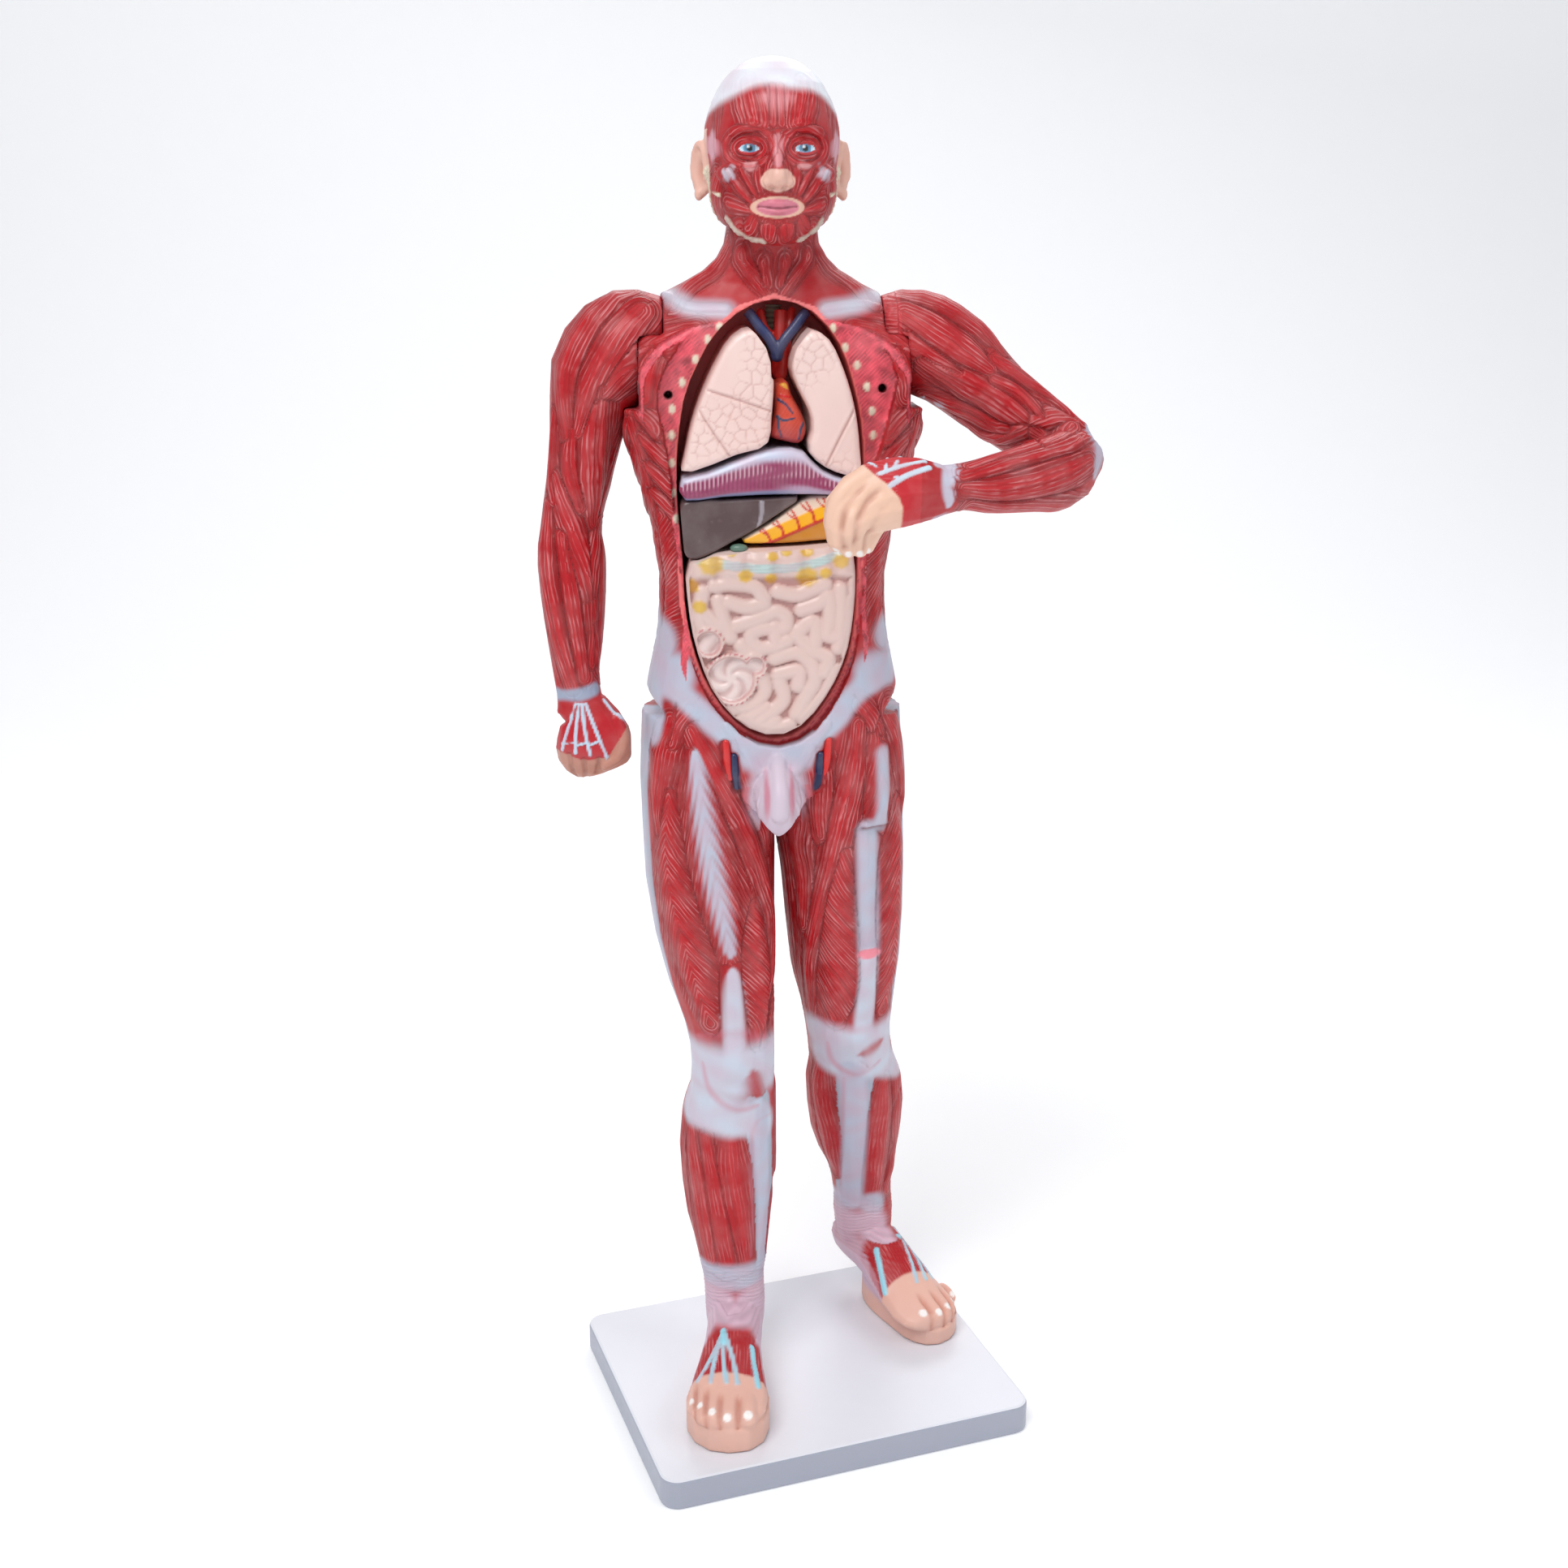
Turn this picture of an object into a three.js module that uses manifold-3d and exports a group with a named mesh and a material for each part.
// A standing muscle figure with an open trunk, lift-out organs and pull-off arms, on a board.
// Millimetres, +Z up, -Y is the figure's front, the origin is the centre of the board's underside.
import * as THREE from "three";
import { mergeVertices } from "three/addons/utils/BufferGeometryUtils.js";
import Module from "manifold-3d";

const wasm = await Module();
wasm.setup();

// ---- Driving dimensions ----
const boardWidth = 250;
const boardDepth = 200;
const boardThickness = 20;
const boardCorner = 12;
const boardTurn = THREE.MathUtils.degToRad(15);
const figureX = -17; // the figure's mid-plane stands off the board's centre
const figureY = 20;
const gap = 0.4; // clearance between neighbouring solids
const footPadRadius = 9;
const footPadHeight = 3;
const footPadSink = 2;
const soleHeight = 22; // the block moulded under each foot
const screwHeadRadius = 4.5;
const screwHeadHeight = 2.5;
const screwShankRadius = 2;
const screwLength = 22;
const ledgeZ = 697; // the step in the shoulder joint
const jointTop = 64; // |x| of the joint face above the step
const jointLow = 79; // |x| of the joint face below the step
const jointBase = 656; // where the joint face ends, in the armpit
const flankLimit = 87.6; // |x| of the trunk's flank just under the joint
const pegRadius = 3;
const pegLength = 16;
const magnetRadius = 5;
const magnetThickness = 3;
const organPegRadius = 2;
const bayBack = 20; // depth of the organ bay's back wall
const rimY = -30; // the cut face around the bay

const skin = 0xe0ab94;
const muscle = 0xb8323c;
const tendon = 0xc9d2dd;
const lungPink = 0xe8bfb6;
const steel = 0xb9bcc0;

// ---- Shape helpers ----
const X = new THREE.Vector3(1, 0, 0);
const Z = new THREE.Vector3(0, 0, 1);

function toSolid(geometry) {
  const bare = geometry.clone();
  bare.deleteAttribute("normal");
  bare.deleteAttribute("uv");
  const merged = mergeVertices(bare, 1e-3);
  const vertProperties = merged.attributes.position.array;
  const triVerts = new Uint32Array(merged.index.array);
  return new wasm.Manifold(new wasm.Mesh({ numProp: 3, vertProperties, triVerts }));
}

function toGeometry(solid) {
  const { numProp, vertProperties, triVerts } = solid.getMesh();
  const position = new Float32Array((vertProperties.length / numProp) * 3);
  for (let i = 0; i < position.length / 3; i++) {
    position.set(vertProperties.subarray(i * numProp, i * numProp + 3), i * 3);
  }
  const geometry = new THREE.BufferGeometry();
  geometry.setAttribute("position", new THREE.BufferAttribute(position, 3));
  geometry.setIndex(new THREE.BufferAttribute(triVerts, 1));
  geometry.computeVertexNormals();
  return geometry;
}

// Closes a stack of equal rings with a fan at each end, and turns the faces outwards.
function closeRings(rings) {
  const sides = rings[0].length;
  const points = rings.flat();
  const faces = [];
  for (let i = 0; i + 1 < rings.length; i++) {
    for (let j = 0; j < sides; j++) {
      const a = i * sides + j;
      const b = i * sides + ((j + 1) % sides);
      faces.push([a, b, b + sides], [a, b + sides, a + sides]);
    }
  }
  for (const [first, turn] of [[0, 1], [(rings.length - 1) * sides, 0]]) {
    const centre = new THREE.Vector3();
    for (let j = 0; j < sides; j++) centre.addScaledVector(points[first + j], 1 / sides);
    points.push(centre);
    for (let j = 0; j < sides; j++) {
      const a = first + j;
      const b = first + ((j + 1) % sides);
      faces.push(turn ? [b, a, points.length - 1] : [a, b, points.length - 1]);
    }
  }
  let volume = 0;
  for (const [a, b, c] of faces) {
    volume += points[a].dot(new THREE.Vector3().crossVectors(points[b], points[c]));
  }
  const turned = volume < 0 ? faces.map(([a, b, c]) => [a, c, b]) : faces;
  const geometry = new THREE.BufferGeometry().setFromPoints(points);
  geometry.setIndex(turned.flat());
  return geometry;
}

// A limb or trunk of oval section along a smooth centre line. Each station is
// [x, y, z, across, over, under]: half its width along side, and its depth either way from the
// line. Level sections lie flat, with over towards the front.
function limb(stations, { side = X, sides = 20, steps = 16, level = false, square = 1 } = {}) {
  const line = new THREE.CatmullRomCurve3(
    stations.map((s) => new THREE.Vector3(s[0], s[1], s[2])), false, "catmullrom", 0.5);
  const size = new THREE.CatmullRomCurve3(
    stations.map((s) => new THREE.Vector3(s[3], s[4], s[5])), false, "catmullrom", 0.5);
  const rings = [];
  for (let i = 0; i <= steps; i++) {
    const centre = line.getPoint(i / steps);
    const half = size.getPoint(i / steps);
    const along = level ? Z.clone().negate() : line.getTangent(i / steps);
    const across = side.clone().addScaledVector(along, -side.dot(along)).normalize();
    const over = new THREE.Vector3().crossVectors(along, across);
    const ring = [];
    for (let j = 0; j < sides; j++) {
      const a = (j / sides) * Math.PI * 2;
      const c = Math.sign(Math.cos(a)) * Math.abs(Math.cos(a)) ** square;
      const s = Math.sign(Math.sin(a)) * Math.abs(Math.sin(a)) ** square;
      ring.push(centre.clone()
        .addScaledVector(across, c * half.x)
        .addScaledVector(over, s * (s > 0 ? half.y : half.z)));
    }
    rings.push(ring);
  }
  return closeRings(rings);
}

// A smooth closed outline in the figure's front view, through points [x, z].
function outline(points, count) {
  const curve = new THREE.CatmullRomCurve3(
    points.map(([x, z]) => new THREE.Vector3(x, z, 0)), true, "centripetal");
  return new THREE.Shape(curve.getSpacedPoints(count).slice(0, -1)
    .map((p) => new THREE.Vector2(p.x, p.y)));
}

// An outline in the front view extruded from the depth back to the depth front, with round edges.
function slab(shape, back, front, round = 0, inset = 0) {
  const geometry = new THREE.ExtrudeGeometry(shape, {
    depth: back - front - 2 * round,
    bevelEnabled: round > 0,
    bevelThickness: round,
    bevelSize: inset,
    bevelOffset: -inset,
    bevelSegments: 2,
    curveSegments: 4,
  });
  geometry.translate(0, 0, round);
  geometry.rotateX(Math.PI / 2);
  geometry.translate(0, back, 0);
  return geometry;
}

// The same, without rounding, and grown outwards by a clearance: the room it needs to slide.
function slabRoom(shape, back, front) {
  const geometry = new THREE.ExtrudeGeometry(shape, {
    depth: back - front, bevelThickness: 0.2, bevelSize: 0, bevelOffset: gap, bevelSegments: 1,
  });
  return geometry.rotateX(Math.PI / 2).translate(0, back, 0);
}

function ellipsoid(x, y, z, rx, ry, rz, across = 16, down = 10) {
  return new THREE.SphereGeometry(1, across, down).scale(rx, ry, rz).translate(x, y, z);
}

function box(x0, x1, y0, y1, z0, z1) {
  return new THREE.BoxGeometry(x1 - x0, y1 - y0, z1 - z0)
    .translate((x0 + x1) / 2, (y0 + y1) / 2, (z0 + z1) / 2);
}

// A rod along X, Y or Z between two places on that axis.
function rod(axis, from, to, u, v, radius, sides = 16) {
  const geometry = new THREE.CylinderGeometry(radius, radius, Math.abs(to - from), sides);
  const middle = (from + to) / 2;
  if (axis === "x") return geometry.rotateZ(Math.PI / 2).translate(middle, u, v);
  if (axis === "y") return geometry.translate(u, middle, v);
  return geometry.rotateX(Math.PI / 2).translate(u, v, middle);
}

function join(...geometries) {
  return geometries.map(toSolid).reduce((a, b) => a.add(b));
}

function cut(solid, ...geometries) {
  return geometries.map(toSolid).reduce((a, b) => a.subtract(b), solid);
}

function material(color, roughness = 0.38, metalness = 0) {
  return new THREE.MeshStandardMaterial({ color, roughness, metalness });
}

function part(parent, name, shape, color, roughness, metalness) {
  const geometry = shape.isBufferGeometry ? shape : toGeometry(shape);
  const mesh = new THREE.Mesh(geometry, material(color, roughness, metalness));
  mesh.name = name;
  parent.add(mesh);
  return mesh;
}

// A solid made for the figure's left, +X, or its mirror image on the right.
function onSide(sign, solid) {
  return sign > 0 ? solid : solid.mirror([1, 0, 0]);
}

// ---- The board ----
const model = new THREE.Group();
const board = new THREE.Group();
board.rotation.z = boardTurn;
model.add(board);
const figure = new THREE.Group();
figure.position.set(figureX, figureY, 0);
model.add(figure);

// A place on the figure, in the turned board's own axes.
function onBoard(x, y) {
  return new THREE.Vector2(x + figureX, y + figureY).rotateAround(new THREE.Vector2(), -boardTurn);
}

const soleRight = new THREE.CatmullRomCurve3([
  [-27, 8], [-43, 0], [-46, -30], [-57, -62], [-63, -92], [-54, -114], [-37, -121],
  [-19, -117], [-10, -98], [-11, -62], [-14, -30], [-12, 0],
].map(([x, y]) => new THREE.Vector3(x, y, 0)), true);
const soleLeft = new THREE.CatmullRomCurve3([
  [68, 58], [70, 40], [82, 14], [94, -6], [108, -13], [122, -6], [129, 12], [124, 32],
  [108, 52], [92, 66], [76, 70],
].map(([x, y]) => new THREE.Vector3(x, y, 0)), true);
const screwPlaces = [
  ["screw_right_toe", -36, -88], ["screw_right_heel", -28, -18],
  ["screw_left_toe", 106, 8], ["screw_left_heel", 86, 46],
];

function makeBoard() {
  const w = boardWidth / 2 - boardCorner;
  const d = boardDepth / 2 - boardCorner;
  const plan = new THREE.Shape();
  plan.absarc(w, d, boardCorner, 0, Math.PI / 2);
  plan.absarc(-w, d, boardCorner, Math.PI / 2, Math.PI);
  plan.absarc(-w, -d, boardCorner, Math.PI, Math.PI * 1.5);
  plan.absarc(w, -d, boardCorner, Math.PI * 1.5, Math.PI * 2);
  const edge = 2;
  const slabOfBoard = new THREE.ExtrudeGeometry(plan, {
    depth: boardThickness - 2 * edge, bevelThickness: edge, bevelSize: edge,
    bevelOffset: -edge, bevelSegments: 2, curveSegments: 5,
  }).translate(0, 0, edge);
  const pads = [];
  for (const x of [-1, 1]) {
    for (const y of [-1, 1]) pads.push([x * (w - 8), y * (d - 8)]);
  }
  const recesses = pads.map(([x, y]) =>
    rod("z", -1, footPadSink + gap, x, y, footPadRadius + gap, 20));
  const holes = screwPlaces.flatMap(([, x, y]) => {
    const at = onBoard(x, y);
    return [rod("z", -1, screwHeadHeight + 1, at.x, at.y, screwHeadRadius + gap, 12),
      rod("z", 0, boardThickness + 1, at.x, at.y, screwShankRadius + gap, 10)];
  });
  // The board's flat underside stays the lowest face, so the pads lie just inside it.
  part(board, "base_board", cut(toSolid(slabOfBoard), ...recesses, ...holes), 0xeceef4, 0.35);
  pads.forEach(([x, y], i) => {
    part(board, `board_pad_${i + 1}`, rod("z", 0, footPadSink, x, y, footPadRadius, 20),
      0x2b2b2d, 0.8);
  });
  for (const [name, x, y] of screwPlaces) {
    const at = onBoard(x, y);
    const screw = join(
      rod("z", 1, screwHeadHeight + 0.5, at.x, at.y, screwHeadRadius, 12),
      rod("z", screwHeadHeight, 1 + screwLength, at.x, at.y, screwShankRadius, 10));
    part(board, name, screw, steel, 0.3, 1);
  }
}

// ---- Feet and legs ----
// The block moulded under a foot, with the holes for the screws that come up through the board.
function soleBlock(name, curve) {
  const plan = new THREE.Shape(curve.getSpacedPoints(24).slice(0, -1)
    .map((p) => new THREE.Vector2(p.x, p.y)));
  return toSolid(new THREE.ExtrudeGeometry(plan, { depth: soleHeight, bevelEnabled: false })
    .translate(0, 0, boardThickness + gap));
}

const legRight = [
  [-41, 10, 470, 40, 42, 44], [-41, 8, 440, 41, 46, 48], [-40, 7, 405, 41.5, 44, 46],
  [-38, 5, 350, 41, 42, 42], [-32, 1, 300, 37, 38, 36], [-26, -4, 262, 31, 31, 28],
  [-25, -7, 243, 29, 29, 25], [-26, -7, 222, 28.5, 26, 28], [-29, -7, 190, 31.5, 24, 34],
  [-30, -8, 158, 30, 23, 32], [-30, -10, 120, 25.5, 20, 25], [-28, -13, 88, 20.5, 18, 20],
  [-27, -15, 66, 20, 18, 20], [-27, -16, 48, 19, 18, 19], [-27, -18, 38, 15, 14, 15],
];
const footRight = [
  [-27, 6, 46, 6, 6, 6], [-27, 3, 48, 14, 13, 13], [-27, -8, 50, 18, 18, 16],
  [-28, -28, 52, 18.5, 24, 17], [-31, -52, 50, 19, 20, 15], [-34, -76, 46, 23, 14, 11.5],
  [-36, -96, 43, 25.5, 10, 9], [-37, -110, 41, 23, 8, 7.5], [-37, -117, 40, 16, 6, 6],
  [-37, -120, 40, 6, 3, 3],
];
const legLeft = [
  [41, 10, 470, 40, 42, 44], [42, 10, 440, 40.5, 46, 48], [43, 10, 405, 40.5, 44, 45],
  [47, 13, 355, 38, 41, 41], [49, 17, 308, 35.5, 37, 36], [51, 20, 262, 30, 30, 28],
  [52, 23, 243, 28, 28, 25], [55, 30, 222, 28.5, 26, 28], [59, 40, 195, 31, 25, 33],
  [61, 48, 165, 29.5, 23, 31], [65, 57, 130, 23, 20, 25], [68, 64, 104, 20.5, 18.5, 20],
  [69, 66, 86, 21, 19, 20], [70, 66, 66, 19, 18, 18], [72, 64, 54, 14, 14, 14],
];
// The heel of the trailing foot is lifted, so its path slopes down to the toes.
const footLeft = [
  [57, 88, 60, 6, 6, 6], [59, 84, 60, 13, 13, 13], [65, 75, 60, 17, 18, 17],
  [74, 60, 59, 18, 23, 18], [84, 42, 53, 19, 20, 16], [94, 22, 45, 23, 14, 11.5],
  [103, 6, 40, 25, 10, 9], [109, -4, 38, 22, 8, 7.5], [112, -9, 37, 15, 6, 6],
  [113, -11, 37, 6, 3, 3],
];
const hipCut = { x: 85, crotchZ: 402, hipZ: 492 }; // the joint line between trunk and thighs

// Everything below the slanting joint line of one hip, lowered by drop.
function hipWedge(sideSign, drop) {
  const low = 0;
  const x0 = -3 * sideSign;
  const x1 = (hipCut.x + 15) * sideSign;
  const slope = (hipCut.hipZ - hipCut.crotchZ) / hipCut.x;
  const z0 = hipCut.crotchZ - 3 * slope - drop;
  const z1 = hipCut.crotchZ + (hipCut.x + 15) * slope - drop;
  const shape = new THREE.Shape([[x0, low], [x1, low], [x1, z1], [x0, z0]]
    .map((p) => new THREE.Vector2(...p)));
  return slab(shape, 120, -140);
}

// Everything under a foot's sole. The trailing foot's sole rises towards its heel.
function underSole(sign) {
  const ground = new THREE.BoxGeometry(400, 400, 100).translate(0, 0, -50);
  if (sign < 0) return toSolid(ground.translate(0, 0, 35));
  return toSolid(ground.rotateX(THREE.MathUtils.degToRad(9))
    .rotateZ(THREE.MathUtils.degToRad(29)).translate(113, -11, 30));
}

function makeLegs() {
  const legs = [
    ["right", legRight, footRight, -1, new THREE.Vector3(1, 0.09, 0), soleRight],
    ["left", legLeft, footLeft, 1, new THREE.Vector3(0.82, 0.57, 0), soleLeft],
  ];
  for (const [name, leg, foot, sign, footSide, sole] of legs) {
    const shank = toSolid(limb(leg, { sides: 20, steps: 20, level: true }));
    const sandal = toSolid(limb(foot, { side: footSide, sides: 14, steps: 12 }));
    const ownHalf = onSide(sign, toSolid(box(0.8, 140, -200, 200, 0, 600)));
    const under = underSole(sign);
    const whole = shank.intersect(toSolid(hipWedge(sign, gap))).intersect(ownHalf)
      .add(sandal).subtract(under)
      .add(soleBlock(name, sole).intersect(under.translate(0, 0, 1.5)));
    const holes = screwPlaces.filter(([screw]) => screw.includes(name))
      .map(([, x, y]) => rod("z", 0, screwLength + 2, x, y, screwShankRadius + gap, 10));
    part(figure, `leg_${name}`, cut(whole, ...holes), muscle);
  }
}

// ---- Trunk ----
const trunk = [
  [0, 8, 398, 62, 34, 38], [0, 8, 412, 79, 42, 48], [0, 8, 440, 82, 50, 54],
  [0, 8, 470, 81, 51, 52], [0, 6, 500, 75, 50, 42], [0, 4, 530, 69, 49, 36],
  [0, 2, 560, 68, 49, 38], [0, 2, 600, 76, 51, 43], [0, 2, 630, 85, 54, 46],
  [0, 2, 655, 93, 53, 47], [0, 3, 680, 96, 48, 45], [0, 5, 700, 90, 40, 39],
  [0, 7, 715, 74, 31, 32], [0, 8, 726, 53, 27, 27], [0, 7, 736, 36, 27, 26],
  [0, 4, 748, 28, 27, 26], [0, 0, 762, 26, 26, 26], [0, -2, 775, 25, 25, 25],
];
const bay = [
  [0, 718], [-19, 712], [-34, 700], [-44, 684], [-52, 666], [-56, 645], [-58, 620],
  [-57, 594], [-55, 568], [-54, 541], [-50, 518], [-43, 497], [-30, 476], [-15, 463],
  [0, 459], [14, 463], [26, 476], [37, 494], [44, 512], [47.5, 538], [48.5, 566],
  [50, 594], [51.5, 621], [50, 648], [45, 671], [37, 693], [22, 711],
];
const cutFace = [
  [0, 722], [-20, 718], [-37, 709], [-51, 698], [-63, 682], [-69, 664], [-65, 640],
  [-61, 613], [-58.5, 571], [-56, 542], [-52, 513], [-39, 482], [-17, 461], [0, 456],
  [20, 463], [38, 487], [48, 513], [51, 540], [53, 566], [58, 592], [55, 612],
  [62, 636], [68, 660], [71, 676], [64, 688], [52, 699], [36, 709], [19, 718],
];
const coverPinHoles = [[-62, 665], [62, 668]];
const pegY = 2;
const pegZ = 676;
const magnetY = 4;
const magnetZ = 710;

// Material of the shoulder that belongs to the arm on one side, grown by grow.
function armRegion(sign, grow) {
  const top = box(jointTop - grow, 300, -220, 160, ledgeZ - grow, 760);
  const low = box(jointLow - grow, 300, -220, 160, jointBase - grow, ledgeZ + 1);
  return onSide(sign, join(top, low));
}

function headPlane(lift) {
  // Slants from under the chin up to the nape.
  const shape = new THREE.Shape([[-70, 745 + lift], [70, 780 + lift], [70, 900], [-70, 900]]
    .map((p) => new THREE.Vector2(...p)));
  return new THREE.ExtrudeGeometry(shape, { depth: 200, bevelEnabled: false })
    .rotateX(Math.PI / 2).rotateZ(Math.PI / 2).translate(-100, 0, 0);
}

const organPegs = {
  right_lung: [-30, 655], left_lung: [30, 655], heart: [8, 655], diaphragm: [-2, 618],
  liver: [-38, 592], stomach: [28, 593], intestines: [0, 520],
};

function makeTrunk() {
  let shell = toSolid(limb(trunk, { sides: 36, steps: 26, level: true, square: 0.88 }));
  shell = shell.add(toSolid(ellipsoid(0, -44, 424, 14, 18, 23, 14, 10)));
  for (const sign of [-1, 1]) {
    shell = shell.subtract(toSolid(hipWedge(sign, 0))).subtract(armRegion(sign, 0));
  }
  shell = shell.subtract(toSolid(headPlane(0)))
    .intersect(toSolid(box(-flankLimit, flankLimit, -120, 120, 300, 900)));
  const pinHoles = coverPinHoles.map(([x, z]) => rod("y", rimY - 1, rimY + 10, x, z, 2.3, 12));
  const sockets = Object.values(organPegs).map(([x, z]) =>
    rod("y", bayBack - 1, bayBack + 9, x, z, organPegRadius + gap, 10));
  const shoulder = [-1, 1].flatMap((s) => [
    rod("x", s * (jointLow + 1), s * (jointLow - pegLength), pegY, pegZ, pegRadius + gap, 14),
    rod("x", s * (jointTop + 1), s * (jointTop - magnetThickness - gap), magnetY, magnetZ,
      magnetRadius + gap, 16),
  ]);
  shell = cut(shell, slab(outline(cutFace, 52), rimY, -120), slab(outline(bay, 52), bayBack, -120),
    ...pinHoles, ...sockets, ...shoulder);
  part(figure, "torso_shell", shell, muscle);
}

// ---- Head ----
const skull = [
  [0, -1, 850, 5, 6, 6], [0, -1, 847, 16, 19, 19], [0, -1, 838, 27, 33, 33],
  [0, -1, 824, 35, 43, 43], [0, -1, 808, 38.5, 47, 46], [0, -2, 794, 37.5, 46, 42],
  [0, -5, 780, 36, 43, 33], [0, -10, 768, 33, 38, 26], [0, -17, 757, 26, 31, 22],
  [0, -24, 750, 16, 21, 20], [0, -26, 748, 6, 8, 8],
];

function makeHead() {
  let head = toSolid(limb(skull, { sides: 26, steps: 18, level: true, square: 0.94 }));
  const nape = [
    [0, 4, 800, 26, 26, 26], [0, 1, 778, 26, 26, 27], [0, 1, 762, 26, 26, 26],
    [0, 4, 744, 28, 27, 26],
  ];
  head = head.add(toSolid(limb(nape, { sides: 20, steps: 5, level: true })));
  head = head.add(toSolid(ellipsoid(0, -45, 786, 7, 9, 11, 12, 8)));
  for (const s of [-1, 1]) {
    const ear = new THREE.SphereGeometry(1, 12, 8).scale(4.5, 10, 16)
      .rotateX(0.15).rotateZ(-0.5 * s).translate(s * 39.5, 3, 789);
    head = head.add(toSolid(ear));
  }
  // A collar under the jaw is cut to the neck's slanting joint.
  head = head.intersect(toSolid(headPlane(gap)).add(toSolid(ellipsoid(0, -26, 760, 36, 30, 20))));
  part(figure, "head", head.subtract(toSolid(neckBelow())), muscle);
}

// The neck's own space below the joint, so the head never overlaps it.
function neckBelow() {
  const shape = new THREE.Shape([[-28, 700], [70, 700], [70, 780 + gap], [-28, 755.5 + gap]]
    .map((p) => new THREE.Vector2(...p)));
  return new THREE.ExtrudeGeometry(shape, { depth: 200, bevelEnabled: false })
    .rotateX(Math.PI / 2).rotateZ(Math.PI / 2).translate(-100, 0, 0);
}

// ---- Arms ----
const upperRight = [
  [-58, 4, 712, 8, 12, 12], [-66, 4, 706, 20, 22, 20], [-84, 4, 694, 31, 30, 29],
  [-100, 5, 676, 31, 29, 28], [-108, 6, 656, 24, 25, 25], [-112, 7, 636, 20.5, 23, 23],
  [-117, 8, 609, 18.5, 21, 21], [-121, 7, 584, 18.5, 19, 19], [-122, 4, 566, 20, 20, 19],
  [-121.5, 0, 538, 18.5, 18, 17], [-121, -4, 508, 15, 14, 13], [-119, -7, 484, 13.5, 11, 10.5],
  [-118, -8, 474, 15, 12, 12],
];
const fistRight = [
  [-118, -8, 478, 10, 9, 9], [-114, -9, 472, 17, 12, 12], [-111, -9, 458, 23, 14, 18],
  [-110, -8, 446, 23.5, 13, 22], [-109, -6, 438, 19, 10, 18], [-108, -5, 435, 9, 5, 8],
];
const upperLeft = [
  [58, 4, 712, 12, 8, 8], [66, 4, 706, 22, 20, 20], [86, 3, 693, 28, 29, 29],
  [108, 0, 680, 27, 27, 28], [128, -3, 663, 24, 24, 25], [148, -6, 647, 22, 21, 22],
  [166, -10, 634, 21, 20, 21], [175, -20, 625, 20, 21, 23], [165, -36, 620, 19, 21, 22],
  [146, -52, 619, 18, 19, 19], [122, -70, 618, 15, 16, 16], [101, -84, 618, 11, 13, 13.5],
  [88, -91, 617, 11, 14, 14],
];
const handLeft = [
  [96, -87, 618, 9, 11, 11], [86, -92, 617, 11, 15, 15], [70, -100, 617, 12, 20, 18],
  [52, -106, 614, 12, 22, 18], [38, -109, 606, 12, 20, 14], [33, -108, 596, 12, 13, 11],
  [34, -106, 588, 8, 8, 6],
];

function makeArms() {
  const arms = [
    ["right", -1, limb(upperRight, { sides: 18, steps: 22 }),
      limb(fistRight, { sides: 14, steps: 8 })],
    ["left", 1, limb(upperLeft, { side: new THREE.Vector3(0.2, -1, 0), sides: 18, steps: 24 }),
      limb(handLeft, { side: new THREE.Vector3(-0.4, -1, 0), sides: 14, steps: 10 })],
  ];
  for (const [name, sign, upper, hand] of arms) {
    const whole = join(upper, hand);
    const below = onSide(sign, toSolid(box(flankLimit + gap, 300, -220, 160, 400, 700)));
    const inFront = onSide(sign, toSolid(box(10, 300, -220, -60, 400, 700)));
    let arm = whole.intersect(armRegion(sign, -gap).add(below).add(inFront));
    arm = cut(arm,
      rod("x", sign * (jointLow - 1), sign * (jointLow + 13), pegY, pegZ, pegRadius + gap, 14),
      rod("x", sign * (jointTop - 1), sign * (jointTop + magnetThickness + 2 * gap), magnetY,
        magnetZ, magnetRadius + gap, 16));
    part(figure, `arm_${name}`, arm, muscle);
    part(figure, `arm_peg_${name}`, rod("x", sign * (jointLow - pegLength + 1),
      sign * (jointLow + 12.5), pegY, pegZ, pegRadius, 14), steel, 0.25, 1);
    part(figure, `arm_magnet_${name}`, rod("x", sign * (jointTop + gap + 0.1),
      sign * (jointTop + magnetThickness), magnetY, magnetZ, magnetRadius, 16), steel, 0.3, 1);
    part(figure, `shoulder_magnet_${name}`, rod("x", sign * (jointTop - magnetThickness),
      sign * (jointTop - 0.1), magnetY, magnetZ, magnetRadius, 16), steel, 0.3, 1);
  }
}

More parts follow.
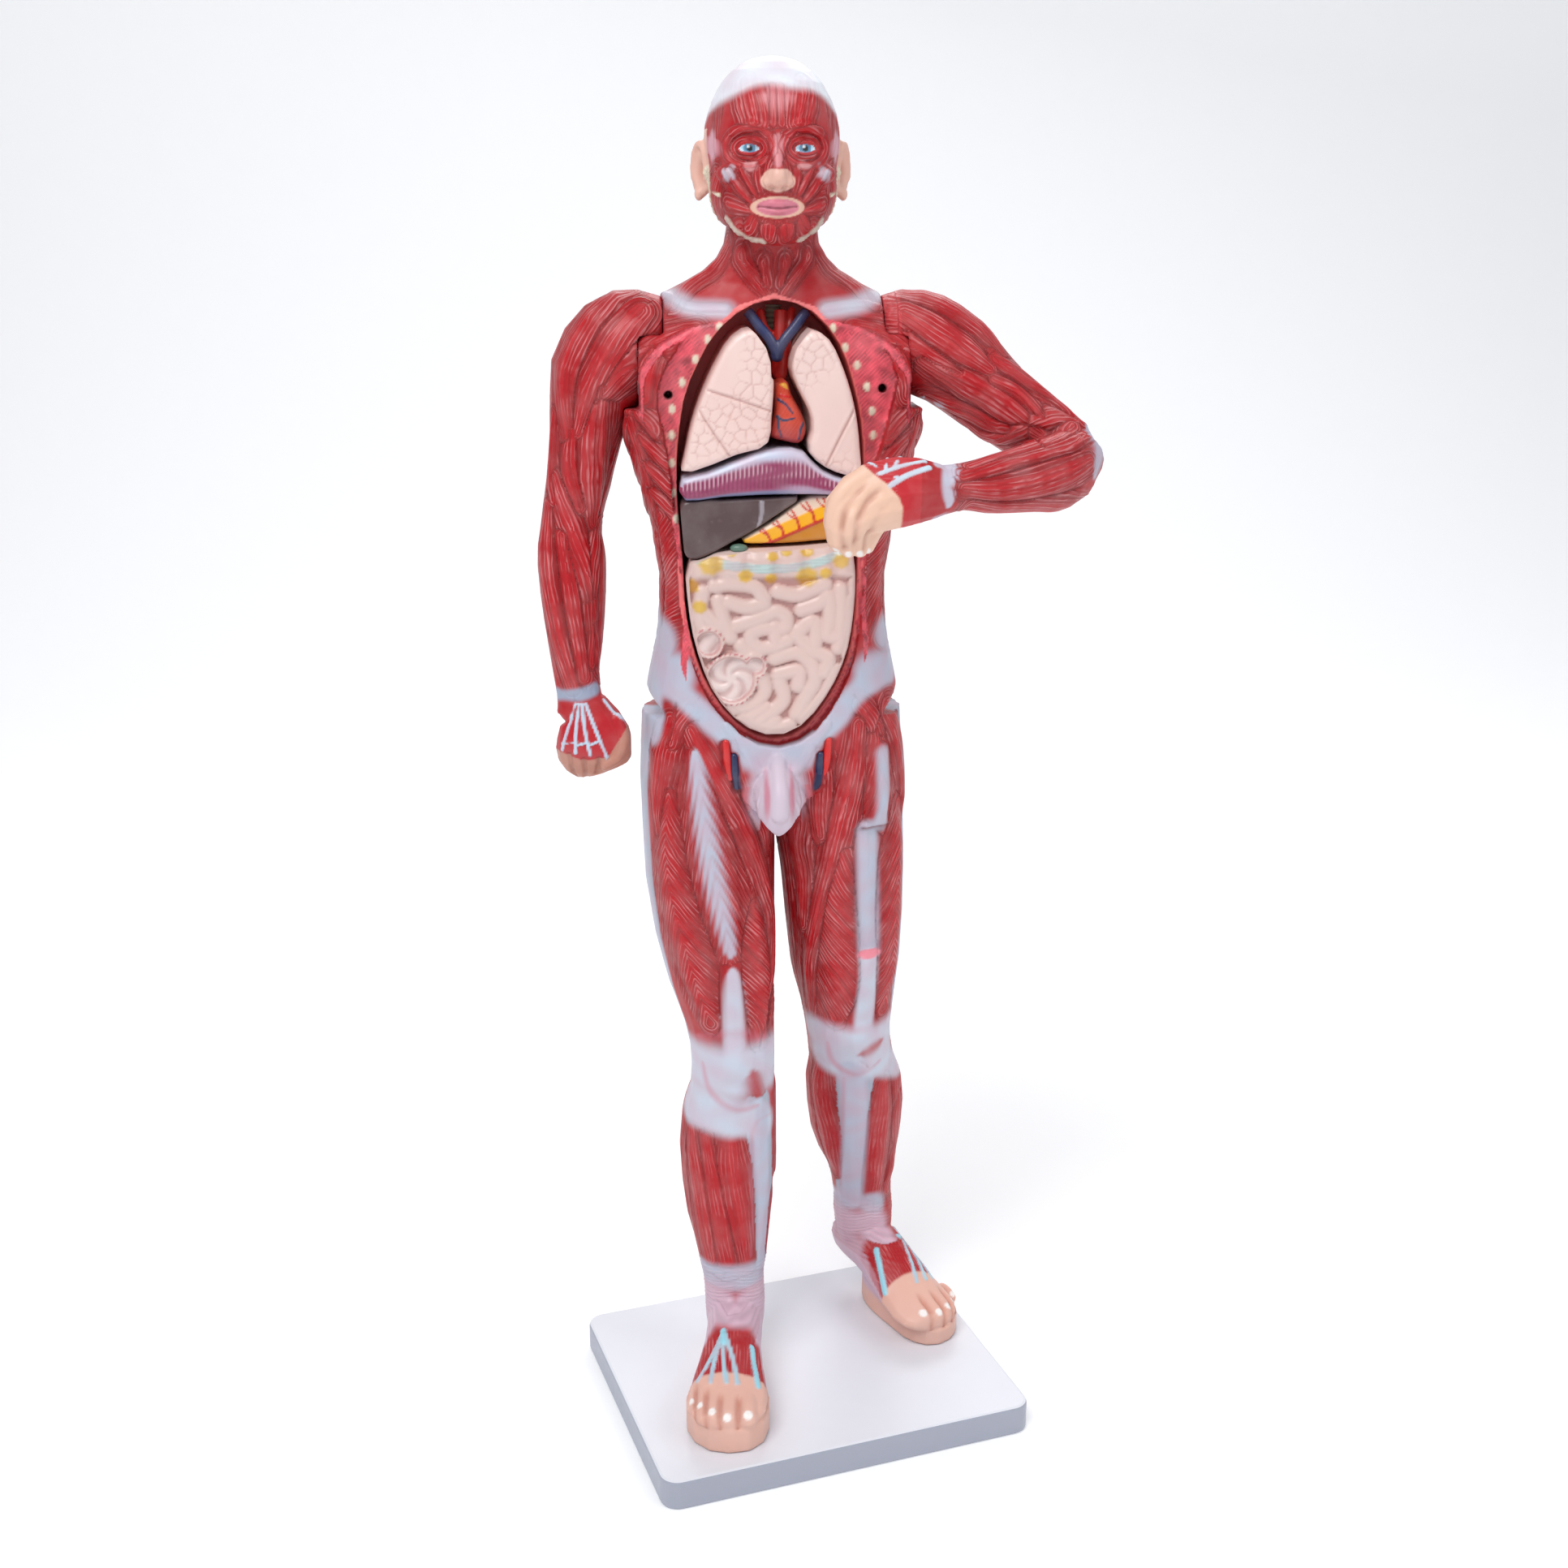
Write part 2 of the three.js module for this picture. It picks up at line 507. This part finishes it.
// ---- Organs ----
const organs = {
  right_lung: { front: -47, round: 6, inset: 2.8, color: lungPink, edge: [
    [-13, 703], [-25, 698], [-35, 683], [-43, 666], [-49, 649], [-53, 632], [-55, 622],
    [-41, 625], [-23, 632], [-6, 637.5], [-3, 655], [-2, 676], [-5, 693]] },
  left_lung: { front: -47, round: 6, inset: 3.6, color: lungPink, edge: [
    [19, 702], [11, 694], [8, 681], [12, 669], [18.5, 656], [20, 646], [17.5, 635],
    [25, 626], [38, 620], [48, 619], [48, 634], [45, 657], [38, 680], [29, 697]] },
  heart: { front: -36, round: 5, inset: 2.8, color: 0xb5453b, edge: [
    [0, 671], [6, 673], [9, 665], [14.5, 655], [17.5, 646], [14.5, 637.5], [4, 638.5],
    [-3.5, 641.5], [-1, 656]] },
  diaphragm: { front: -45, round: 5, inset: 3.5, color: 0xa55a78, edge: [
    [-55, 618], [-40, 622.5], [-23, 629], [-6, 634.5], [14, 634], [24, 624], [38, 617.5],
    [48.5, 616], [48.5, 608.5], [22, 608.5], [-6, 608.5], [-30, 607.5], [-55.5, 606.5]] },
  liver: { front: -42, round: 4, inset: 1.5, color: 0x4f3534, edge: [
    [-55, 604.5], [-30, 606], [-5, 607], [14, 607], [0, 596.5], [-24, 582], [-52, 571.5]] },
  stomach: { front: -40, round: 4, inset: 1.8, color: 0xe7b455, edge: [
    [20, 607], [34, 607], [47.5, 605], [46.5, 584], [24, 581], [-5, 579.5], [-22, 581],
    [-1, 594], [12, 603.5]] },
  intestines: { front: -46, round: 7, inset: 6, color: 0xe6cdc6, edge: [
    [-51, 570], [-29, 576], [-5, 577.5], [19, 578.5], [42, 579], [46, 566], [45.5, 538],
    [41, 512], [30, 488], [14, 469], [-2, 463.5], [-20, 470], [-37, 489], [-47, 514],
    [-52, 540]] },
};
const veinRight = [[-15, -14, 711], [-9, -17, 703], [-3, -19, 696], [1.5, -19, 687]];
const veinLeft = [[19, -14, 711], [12, -17, 702], [6, -19, 695], [1.5, -19, 687]];
const vesselSpace = [
  [-22, 722], [-21, 708], [-12, 699.5], [-6.5, 692], [-4, 684], [-3.5, 674.6], [8, 674.6],
  [8.5, 684], [10.5, 691], [15.5, 698], [25, 707], [25, 722],
];

function tube(points, radius, sides, steps) {
  return limb(points.map((p) => [...p, radius, radius, radius]), { sides, steps });
}

function makeOrgans() {
  // The bay's outline drawn in by a clearance, towards the bay's middle.
  const bayMiddle = 590;
  const drawnIn = bay.map(([x, z]) => {
    const reach = Math.hypot(x, z - bayMiddle);
    return [x - 1.2 * x / reach, z - 1.2 * (z - bayMiddle) / reach];
  });
  const bayRoom = toSolid(slab(outline(drawnIn, 52), bayBack - gap, -120));
  const vesselPlan = new THREE.Shape(vesselSpace.map((p) => new THREE.Vector2(...p)));
  let taken = toSolid(slab(vesselPlan, bayBack + 1, -120));
  for (const [name, { front, round, inset, color, edge }] of Object.entries(organs)) {
    const plan = outline(edge, 32);
    const body = toSolid(slab(plan, bayBack - gap, front, round, inset))
      .intersect(bayRoom).subtract(taken);
    taken = taken.add(toSolid(slabRoom(plan, bayBack + 1, -120)));
    const [x, z] = organPegs[name];
    part(figure, name, cut(body, rod("y", bayBack - 6, bayBack + 1, x, z, organPegRadius + gap, 10)),
      color, 0.42);
    part(figure, `${name}_peg`, rod("y", bayBack - 5.5, bayBack + 8, x, z, organPegRadius, 10),
      steel, 0.3, 1);
  }
  const veins = join(tube(veinRight, 3.2, 10, 8), tube(veinLeft, 3.2, 10, 8));
  const veinRoom = join(tube(veinRight, 3.7, 10, 8), tube(veinLeft, 3.7, 10, 8));
  part(figure, "great_veins", veins, 0x27305c, 0.35);
  const aorta = toSolid(tube([[2.5, -4, 675], [3.5, -8, 685], [4.5, -7, 697], [5, -4, 711]], 4, 12, 8));
  part(figure, "aorta", aorta.subtract(veinRoom), 0xc2302c, 0.35);
  part(figure, "trachea", rod("z", 686, 714, 1.5, 9, 4.6, 14), 0xb9bd96, 0.45);
}

makeBoard();
makeLegs();
makeTrunk();
makeHead();
makeArms();
makeOrgans();

export default model;
